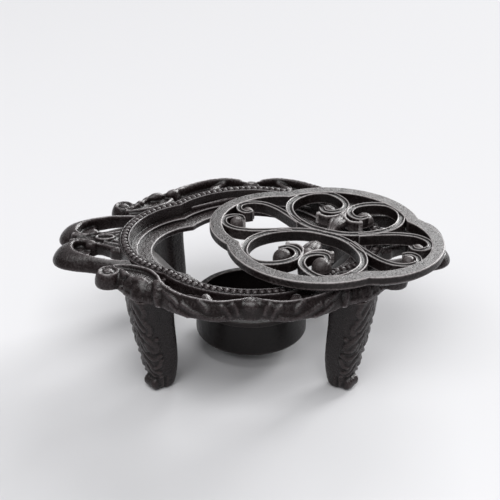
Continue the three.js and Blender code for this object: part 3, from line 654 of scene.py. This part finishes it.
# Fine raised edge along the arch, a little inside it and over its crest
EDGE_INSET, EDGE_HALF, EDGE_RISE = 0.986, 0.55, 0.35
ARCH_EDGE = [[EDGE_INSET * x, EDGE_INSET * y, EDGE_HALF, crest + EDGE_RISE] for x, y, _, crest in ARCH[1:]]
ARCH_RIB = [[16.4, 44.4, 2.0, 47.7], [15.6, 46.8, 2.1, 47.6], [14.0, 49.6, 1.6, 47.4], [11.0, 52.4, 1.2, 48.6]]
CORNER_CREST = [[49.4, 25.6, 0.8, 48.0], [47.2, 28.5, 0.85, 48.5], [43.1, 34.1, 0.9, 48.8], [39.4, 36.5, 0.95, 49.1],
                [36.0, 38.4, 0.9, 48.2], [33.4, 38.9, 1.0, 49.2]]
# Leaf lobes of the corner as crest, foot, half width and crest level
CORNER_LOBES = [((47.2, 28.5), (49.2, 32.6), 2.4, 48.4), ((43.1, 34.1), (45.9, 37.2), 2.6, 48.9),
                ((39.4, 36.5), (42.2, 41.0), 2.8, 49.1), ((35.9, 38.6), (37.2, 42.8), 2.6, 48.3),
                ((33.4, 38.8), (31.8, 45.4), 2.8, 49.5)]
# Bumps on the corner's crest as place, radii and top
CORNER_BUMPS = [((46.3, 30.4), (1.9, 1.4, 1.5), 48.9), ((40.2, 36.2), (3.5, 1.9, 1.7), 49.6),
                ((33.4, 39.0), (2.8, 1.8, 1.7), 49.9)]
BUMP_TURN = -0.55
# Boss in the prong's hook, boss on the middle of the arch and the drop under it
PRONG_BOSS = (62.3, 4.7, 2.2, BORDER_BOTTOM, 48.4, 1.9)
ARCH_BOSS = (0, 49.8, 1, 41.2, 48.6, 2.6, (4.4, 3.4))
ARCH_DROP = ((0, 50.6, 42.3), (6.6, 2.4, 1.9))
# Tops of the sunk floors between the ribs, and where the corner's floor ends
PRONG_FLOOR_TOP, STEM_FLOOR_TOP, ARCH_FLOOR_TOP = 45.0, 46.2, 45.4
CORNER_FLOOR_TOP, CORNER_SKIRT_TOP = 46.6, 43.8
CORNER_FLOOR_END = [(44.1, 21.0), (50.1, 21.5)]
BORDER_SPACING, FINE_SPACING = 0.8, 0.3
FACING_UP = 0.25
# The arch's outer wall: greatest upward share of its normal, least share to the side, and where it starts
WALL_SLOPE, WALL_FACING, WALL_FROM = 0.8, 0.2, 40
FOLD_HEIGHT, FOLD_WIDTH = 0.5, 0.75
# Folds of leafwork on the arch's outer wall as points along it and up it
ARCH_FOLDS = [[[33.4, 48.2], [30.4, 47.6], [27.6, 46.6], [26.2, 45.6]], [[18.4, 48.4], [16.9, 47.4], [15.6, 45.8]],
              [[24.5, 46.2], [20.0, 44.4], [14.5, 43.2], [9.5, 43.6]], [[10.4, 47.6], [8.6, 46.2], [7.4, 43.8]],
              [[28.5, 45.0], [26.0, 43.6], [22.5, 42.6]], [[6.4, 47.8], [5.2, 46.2], [4.8, 44.4]]]


def lobe(crest, foot, half, top):
    """Rows of a leaf lobe that rises out of a hollow to its crest and drops in a round front to its foot."""
    crest, foot = np.array(crest), np.array(foot)
    drop = top - BORDER_BOTTOM
    return [[*(crest + (foot - crest) * share), half * width, top - drop * fall]
            for share, width, fall in ((-0.15, 0.7, 0.15), (0, 0.85, 0), (0.35, 1, 0.08), (0.7, 1, 0.35),
                                       (0.92, 0.75, 0.7), (1, 0.5, 0.92))]


def on_border(rows):
    """A smooth path of border rows with their foot at the border's underside."""
    path = smooth_path(rows, BORDER_SPACING)
    return np.column_stack([path, np.full(len(path), BORDER_BOTTOM)])


def press_eye(points, out):
    """Presses a soft hollow along the middle of the stem's eye into the faces that look up."""
    half_length, depth, width = EYE_HOLLOW
    path = smooth_path([[STEM_EYE[0] - half_length, 0], [STEM_EYE[0] + half_length, 0]], FINE_SPACING)
    near = (np.abs(points[:, :2] - path.mean(0)) < np.ptp(path, axis=0) / 2 + 3 * width).all(1)
    near &= out[:, 2] > FACING_UP
    gap, _ = distances(points[near], path)
    points[near, 2] -= depth * np.exp(-(gap / width) ** 2)


def fold_wall(points, out):
    """Raises the folds of leafwork on the arch's outer wall."""
    wall = (np.abs(out[:, 2]) < WALL_SLOPE) & (out[:, 1] > WALL_FACING) & (points[:, 1] > WALL_FROM)
    for fold in ARCH_FOLDS:
        gap, _ = distances(points[wall][:, ::2], smooth_path(fold, FINE_SPACING))
        points[wall] += FOLD_HEIGHT * np.exp(-(gap / FOLD_WIDTH) ** 2)[:, None] * out[wall]


def stem_eye():
    """Path of the rim round the eye in the stem."""
    middle, half_length, half_width = STEM_EYE
    return np.array([[middle + half_length * math.cos(a), half_width * math.sin(a), *EYE_RIM]
                     for a in np.linspace(0, 2 * math.pi, EYE_STEPS, endpoint=False)])


def border_parts():
    """Overlapping shapes that a quarter of the border is melted from."""
    rows = [PRONG_HOOK, STEM, *STEM_FLUTES, INNER_RIM, CORNER_CREST, ARCH_RIB, ARCH_EDGE]
    rows += [lobe(*values) for values in CORNER_LOBES]
    inner_cusp, side_middle = cusp(BAND / 2), (0, SIDE_RADIUS + SIDE_CENTRE + BAND / 2)
    crests, feet = [row[0] for row in CORNER_LOBES], [row[1] for row in CORNER_LOBES]
    floors = [(PRONG_FLOOR, PRONG_FLOOR_TOP),
              ([VOLUTE, *crests, inner_cusp, *CORNER_FLOOR_END], CORNER_FLOOR_TOP),
              ([VOLUTE, *feet, *crests[::-1]], CORNER_SKIRT_TOP),
              ([*[row[:2] for row in ARCH], side_middle, inner_cusp], ARCH_FLOOR_TOP),
              (STEM_FLOOR, STEM_FLOOR_TOP)]
    return [
        ribbons("spine", [on_border(row) for row in rows], CROWNED),
        ribbons("walls", [on_border(PRONG), on_border(ARCH)], SLOPED),
        ribbons("eye", [stem_eye()], CROWNED, closed=True),
        lathe(VOLUTE_PROFILE, VOLUTE_STEPS, VOLUTE),
        boss(*PRONG_BOSS),
        boss(*ARCH_BOSS),
        egg(*ARCH_DROP),
        *[floor_plate(corners, BORDER_BOTTOM, top) for corners, top in floors],
        *[egg((x, y, top - radii[2]), radii, BUMP_TURN) for (x, y), radii, top in CORNER_BUMPS],
    ]


def first_quarter(mesh):
    """Cuts off what reaches past the two middle planes."""
    shape = bmesh.new()
    shape.from_mesh(mesh)
    for side in ((1, 0, 0), (0, 1, 0)):
        whole = shape.verts[:] + shape.edges[:] + shape.faces[:]
        bmesh.ops.bisect_plane(shape, geom=whole, plane_co=(0, 0, 0), plane_no=side, clear_inner=True, dist=1e-7)
    shape.to_mesh(mesh)
    shape.free()


def border():
    """The whole border: a quarter is melted together, carved, cut at the middle planes and mirrored."""
    quarter = fused("border_quarter", border_parts(), BORDER_VOXEL, SMOOTHING)
    points, out = coordinates(quarter), normals(quarter)
    press_eye(points, out)
    fold_wall(points, out)
    set_coordinates(quarter, points)
    first_quarter(quarter)
    return tidied(joined("border", [mirrored(quarter, sides) for sides in QUARTERS.values()]))


# Legs
LEAF_SPREAD, LEAF_HEIGHT, LEAF_ROUNDNESS, LEAF_SPACING = 1.3, 0.7, 0.7, 0.25
# Share of the relief's height by level: none over the toe, little under the border
LEAF_LEVELS, LEAF_SHARES = [4.5, 7, 39, LEG_HEIGHT], [0, 1, 1, 0.2]
# Strokes of the leaf relief as half width and points across and up the outer face, mirrored to both sides
LEAF_STROKES = [
    (0.5, [[0, 41], [0, 30], [0, 18], [0, 8]]),
    (0.9, [[0.6, 40.5], [1.8, 37.4], [3.0, 34.6]]),
    (0.8, [[3.4, 40.6], [3.9, 37.6], [3.4, 36.0]]),
    (1.0, [[0.5, 35.5], [1.5, 32.2], [3.0, 29.6]]),
    (0.9, [[3.6, 33.0], [4.5, 30.2], [4.2, 27.8]]),
    (0.8, [[0.5, 30.5], [1.4, 28.0], [1.8, 26.4]]),
    (1.2, [[2.2, 27.0], [3.8, 24.4], [5.2, 21.6], [4.8, 19.6], [3.4, 20.4], [2.6, 22.6]]),
    (0.9, [[0.5, 25.0], [1.4, 21.8], [1.9, 19.8]]),
    (1.0, [[0.5, 19.5], [2.2, 16.8], [4.2, 15.8], [5.7, 17.0]]),
    (0.9, [[5.9, 15.0], [4.9, 12.6], [3.6, 11.6]]),
    (1.1, [[0.6, 14.4], [1.8, 12.2], [2.8, 9.8], [4.4, 9.0]]),
    (0.7, [[0.4, 10.2], [1.2, 8.4], [2.4, 7.2]]),
    (0.9, [[3.6, 33.6], [3.5, 33.3]]),
    (0.9, [[5.7, 24.9], [5.7, 24.6]]),
    (0.9, [[4.7, 7.4], [4.6, 7.2]]),
]


def leg_relief(across, height):
    """Height of the leaf strokes on the leg's outer face, by the way across it and up it."""
    spots = np.column_stack([np.abs(across) / LEAF_SPREAD, height])
    relief = np.zeros(len(spots))
    for half, stroke in LEAF_STROKES:
        gap, _ = distances(spots, smooth_path(stroke, LEAF_SPACING))
        relief = np.maximum(relief, LEAF_HEIGHT * np.clip(1 - (gap / half) ** 2, 0, 1) ** LEAF_ROUNDNESS)
    return relief * np.interp(height, LEAF_LEVELS, LEAF_SHARES)


def leg_shaft():
    """Shaft of a leg along x from its stud: squarish rings with a rounded sole and leaf relief on the outer face."""
    heights = np.linspace(0, LEG_HEIGHT, LEG_LEVELS)
    tracks = [smooth_path([[row[0], row[k]] for row in LEG_STATIONS], STATION_SPACING) for k in (1, 2, 3)]
    inner, outer, half = [np.interp(heights, *track.T) for track in tracks]
    angle = np.linspace(-math.pi, math.pi, LEG_AROUND, endpoint=False)
    c, s = np.cos(angle), np.sin(angle)
    squareness = (np.abs(c) ** 4 + np.abs(s) ** 4) ** -0.25
    shrink = SOLE_ROUNDING * np.maximum(0, 1 - heights / SOLE_HEIGHT) ** 2
    depth = (outer - inner) / 2 - shrink
    out = ((inner + outer) / 2)[:, None] + depth[:, None] * c * squareness
    ring = np.stack(np.broadcast_arrays(out, (half - shrink)[:, None] * s * squareness, heights[:, None]), 2)
    run = np.concatenate([[0], np.cumsum(np.hypot(*np.diff(ring[:, :, :2], axis=1).mean(0).T))])
    across = np.tile(run - run[LEG_AROUND // 2], LEG_LEVELS)
    face = ring.reshape(-1, 3)
    way = np.column_stack([c * np.abs(c), s * np.abs(s), 0 * c])
    way /= np.linalg.norm(way, axis=1)[:, None]
    face = face + leg_relief(across, face[:, 2])[:, None] * np.tile(way, (LEG_LEVELS, 1))
    faces = []
    for low in range(0, (LEG_LEVELS - 1) * LEG_AROUND, LEG_AROUND):
        high = low + LEG_AROUND
        faces += [(low + j, low + (j + 1) % LEG_AROUND, high + (j + 1) % LEG_AROUND, high + j)
                  for j in range(LEG_AROUND)]
    last = (LEG_LEVELS - 1) * LEG_AROUND
    faces += [tuple(range(LEG_AROUND))[::-1], tuple(range(last, last + LEG_AROUND))]
    return tidied(new_mesh("shaft", face, faces))


def leg_toe():
    """Roll across the foot of a leg."""
    rim = [[TOE_RADIUS - 1.4, TOE_HALF_WIDTH], [TOE_RADIUS - 0.4, TOE_HALF_WIDTH - 0.4],
           [TOE_RADIUS, TOE_HALF_WIDTH - 1.2]]
    profile = [[0, -TOE_HALF_WIDTH], *[[radius, -side] for radius, side in rim], *rim[::-1], [0, TOE_HALF_WIDTH]]
    toe = lathe(profile, TOE_STEPS)
    toe.transform(Matrix.Translation(Vector((TOE_OUT, 0, TOE_LEVEL)) * MM) @ Matrix.Rotation(math.pi / 2, 4, "X"))
    return toe


def leg():
    """Leg of the first quarter: shaft and toe melted together, slit behind the toe and set clear of the ring."""
    mesh = fused("leg", [leg_shaft(), leg_toe()], LEG_VOXEL, SMOOTHING)
    points = coordinates(mesh)
    slit = np.exp(-((points[:, 0] - TOE_OUT + SLIT_BACK) / SLIT_WIDTH) ** 2)
    slit *= (points[:, 2] < SLIT_TOP) & (np.abs(points[:, 1]) > SLIT_SIDE)
    points[:, 1] -= np.sign(points[:, 1]) * SLIT_DEPTH * slit
    turn = np.array([[math.cos(LEG_TURN), math.sin(LEG_TURN)], [-math.sin(LEG_TURN), math.cos(LEG_TURN)]])
    points[:, :2] = points[:, :2] @ turn + STUD
    band = outline(BAND + LEG_CLEARANCE)
    first = band[(band > 0).all(1)]
    _, nearest = distances(points, first)
    under_ring = np.hypot(*points[:, :2].T) < np.hypot(*first[nearest].T)
    points[:, 2] = np.clip(points[:, 2], 0, np.where(under_ring, RING_BOTTOM - LEG_CLEARANCE, LEG_HEIGHT))
    set_coordinates(mesh, points)
    return mesh


# Candle cup and its hangers

def candle_cup():
    """Turned cup with a flat lip."""
    inside = CUP_RADIUS - CUP_WALL
    wall = rounded([(CUP_RADIUS - 0.6, CUP_BASE, 0.3), (CUP_RADIUS, CUP_BASE + 0.9, 0.5),
                    (CUP_RADIUS, CUP_RIM - CUP_LIP - 0.2, 0.2), (CUP_LIP_RADIUS, CUP_RIM - CUP_LIP, 0.3),
                    (CUP_LIP_RADIUS, CUP_RIM, 0.45), (CUP_LIP_RADIUS - CUP_LIP_WIDTH, CUP_RIM, 0.35),
                    (inside, CUP_RIM - CUP_LIP, 0.4), (inside, CUP_BASE + CUP_FLOOR, 0.9)])[1:]
    return lathe([[0, CUP_BASE], [CUP_RADIUS - 1.0, CUP_BASE], *wall, [0, CUP_BASE + CUP_FLOOR]], CUP_STEPS)


def softened(node, width):
    """Copy of a solid with its edges broken."""
    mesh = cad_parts[node].data.copy()
    shape = bmesh.new()
    shape.from_mesh(mesh)
    bmesh.ops.remove_doubles(shape, verts=shape.verts, dist=0.001 * MM)
    bmesh.ops.dissolve_limit(shape, angle_limit=0.02, verts=shape.verts, edges=shape.edges)
    shape.to_mesh(mesh)
    shape.free()

    def set_up(holder):
        bevel = holder.modifiers.new("broken_edge", "BEVEL")
        bevel.width = width * MM
        bevel.segments = 3
        bevel.limit_method = "ANGLE"
        bevel.angle_limit = math.radians(40)
    return evaluated(node, mesh, set_up)


def cup_rivet(side):
    """Domed heads inside the cup and outside the strap, with the shank between them."""
    shank = [[0, RIVET_INNER], [SHANK_RADIUS, RIVET_INNER], [SHANK_RADIUS, RIVET_OUTER], [0, RIVET_OUTER]]
    parts = []
    for profile, steps, out, turn in ((RIVET_HEAD, HEAD_STEPS, RIVET_OUTER, math.pi / 2),
                                      (RIVET_HEAD, HEAD_STEPS, RIVET_INNER, -math.pi / 2),
                                      (shank, SHANK_STEPS, 0, math.pi / 2)):
        part = lathe(profile, steps)
        part.transform(Matrix.Translation(Vector((out, 0, RIVET_LEVEL)) * MM) @ Matrix.Rotation(turn, 4, "Y"))
        parts.append(part)
    return mirrored(joined("rivet", parts), (side, 1))


# Lid
# Strips of one quarter as shares of the lid's size
HEART = [[-0.03, 0.03], [0.3, 0.05], [0.62, 0.15], [0.87, 0.31], [0.985, 0.48], [0.965, 0.66], [0.82, 0.83],
         [0.56, 0.91], [0.28, 0.85], [0.09, 0.72], [0.07, 0.58], [0.19, 0.485], [0.33, 0.47], [0.43, 0.54]]
TENDRIL = [[0.01, 0.66], [0.06, 0.46], [0.22, 0.37], [0.39, 0.39]]
SCROLL = [[0.3, 0.09], [0.48, 0.22], [0.64, 0.31], [0.78, 0.34], [0.9, 0.29], [0.955, 0.18], [0.91, 0.08],
          [0.84, 0.06], [0.795, 0.11]]
# Balls in the ends of hearts, scrolls and tendrils as x, y and radius
LID_BALLS = [(7.9, 21.2, 3.7), (35.6, 5.0, 2.6), (TENDRIL[-1][0] * HEART_WIDTH, TENDRIL[-1][1] * HEART_LENGTH, 0.9)]
# Lobes of a bud as centre, radii and turn
BUD_LOBES = [((0, 12.0, 2.6), (2.2, 5.8, 2.3), 0), ((1.7, 11.2, 2.4), (1.6, 5.0, 2.0), -0.2),
             ((-1.7, 11.2, 2.4), (1.6, 5.0, 2.0), 0.2), ((0, 16.4, 3.3), (1.8, 2.6, 1.5), 0)]


def lid_strip(shares, length, width, halves, top):
    """A strip's path from shares of the lid's size, with its half width running between two values."""
    points = np.array(shares) * (length, width)
    along = np.linspace(0, 1, len(points))
    half = np.interp(along, [0, 0.5, 1], [halves[0], halves[0], halves[1]])
    levels = [np.full(len(points), level) for level in (top, STRIP_FOOT)]
    return smooth_path(np.column_stack([points, half, *levels]), STRIP_SPACING)


def lid():
    """Openwork lid where it lies: ring, two hearts, four end scrolls with balls, tendrils and two buds."""
    section = rounded([(LID_INNER, 0, 0.35), (LID_INNER, LID_THICKNESS, 0.45), (LID_OUTER, LID_THICKNESS, 0.55),
                       (LID_OUTER, LID_THICKNESS - LID_EDGE, 0.4), (LID_OUTER - LID_STEP, 0, 0.5)])
    top = LID_THICKNESS - STRIP_DROP
    strips = [lid_strip(HEART, HEART_WIDTH, HEART_LENGTH, (1.5, 1.15), top),
              lid_strip(SCROLL, SCROLL_LENGTH, HEART_LENGTH, (1.15, 1.1), top)]
    tendril = [lid_strip(TENDRIL, HEART_WIDTH, HEART_LENGTH, (0.7, 0.65), top - TENDRIL_DROP)]
    quarter = joined("lid_quarter", [ribbons("strips", strips, CHANNELLED), ribbons("tendril", tendril, CROWNED),
                                     *[boss(x, y, r, STRIP_FOOT, LID_THICKNESS, BALL_DOME * r)
                                       for x, y, r in LID_BALLS]])
    bud = joined("bud", [egg(*values) for values in BUD_LOBES])
    whole = [ring_sweep("lid_ring", section)] + [mirrored(quarter, sides) for sides in QUARTERS.values()]
    whole += [mirrored(bud, (1, 1)), mirrored(bud, (1, -1))]
    mesh = joined("lid", whole)
    mesh.transform(Matrix.Translation(Vector((*LID_SHIFT, LID_REST)) * MM) @ Matrix.Rotation(LID_TURN, 4, "Z"))
    return mesh


piece("frame_seat_ring", seat_ring(), FRAME_IRON, "stand", "cast_iron", ["frame"], reach=2)
piece("frame_bead_row", bead_row(), FRAME_IRON, "stand", "cast_iron", sharp=0, edge_radius=BEAD_EDGE_RADIUS)
piece("frame_border", border(), FRAME_IRON, "stand", "cast_iron", sharp=0, reach=4)
leg_shape = leg()
for corner, sides in QUARTERS.items():
    piece("shaped_leg_" + corner, mirrored(leg_shape, sides), LEG_IRON, "stand", "cast_iron", ["leg_" + corner],
          sharp=60, reach=4)
    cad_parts["leg_stud_" + corner].material_slots[0].material = DARK_STEEL
piece("turned_candle_cup", candle_cup(), CUP_IRON, "stand", "dark_iron", ["candle_cup"], sharp=50, reach=1)
for side, sign in (("right", 1), ("left", -1)):
    piece("strap_" + side, softened("cup_arm_" + side, 0.35), CUP_IRON, "stand", "dark_iron", ["cup_arm_" + side])
    piece("slotted_screw_" + side, softened("arm_screw_" + side, 0.18), DARK_STEEL, "stand", "steel",
          ["arm_screw_" + side])
    piece("domed_rivet_" + side, cup_rivet(sign), DARK_STEEL, "stand", "steel", ["cup_rivet_" + side])
piece("openwork_lid", lid(), LID_IRON, "lid", "worn_iron", ["lid"], reach=0)
for section in (CROWNED, SLOPED, CHANNELLED):
    bpy.data.objects.remove(section)


# Stage, light and camera
FLOOR_REACH = 12


def pale_floor():
    """Wide pale floor to stand on."""
    material = bpy.data.materials.new("pale_linen")
    material.use_nodes = True
    inputs = material.node_tree.nodes["Principled BSDF"].inputs
    for socket, value in (("Base Color", linear("#d6d6d8")), ("Roughness", 0.95), ("Specular IOR Level", 0.1)):
        inputs[socket].default_value = value
    mesh = bpy.data.meshes.new("floor")
    corners = [(FLOOR_REACH * x, FLOOR_REACH * y, 0) for x, y in ((-1, -1), (1, -1), (1, 1), (-1, 1))]
    mesh.from_pydata(corners, [], [(0, 1, 2, 3)])
    mesh.materials.append(material)
    floor = bpy.data.objects.new("floor", mesh)
    scene.collection.objects.link(floor)


def facing(place, aim):
    """Turn of a lamp or camera that looks from one point at another."""
    return (Vector(aim) - Vector(place)).to_track_quat("-Z", "Y").to_euler()


def lamp(name, place, aim, size, power):
    """White area lamp; place, aim and size in metres."""
    light = bpy.data.lights.new(name, "AREA")
    light.shape = "RECTANGLE"
    light.size, light.size_y = size
    light.energy = power
    holder = bpy.data.objects.new(name, light)
    holder.location = place
    holder.rotation_euler = facing(place, aim)
    scene.collection.objects.link(holder)


pale_floor()
lamp("window", (3.1, 3.0, 1.7), (0, 0, 0.04), (1.6, 1.6), 170)
lamp("curtain", (1.1, 3.9, 2.6), (0, 0, 0.04), (2.3, 2.0), 102)
lamp("ceiling", (-0.3, -1.2, 1.7), (-0.3, -1.2, 0), (2.0, 2.0), 44)
world = bpy.data.worlds.new("soft_room")
world.use_nodes = True
sky = world.node_tree.nodes["Background"].inputs
sky["Color"].default_value = linear("#f4f4f6")
sky["Strength"].default_value = 0.26
scene.world = world
scene.view_settings.view_transform = "Standard"

# Camera fitted to the photo: its focal length in pixels of the photo, its place and the point in the middle
PHOTO_WIDTH, FOCAL_LENGTH, SENSOR = 500, 1095.4, 36
CAMERA_PLACE, CAMERA_AIM = Vector((-0.5, -382.6, 243.0)), Vector((-0.5, 3.79, 39.71))
camera = bpy.data.objects.new("camera", bpy.data.cameras.new("camera"))
camera.data.sensor_width = SENSOR
camera.data.lens = FOCAL_LENGTH * SENSOR / PHOTO_WIDTH
camera.data.clip_start = 0.01
camera.data.clip_end = 20
camera.location = CAMERA_PLACE * MM
camera.rotation_euler = facing(camera.location, CAMERA_AIM * MM)
scene.collection.objects.link(camera)
scene.camera = camera
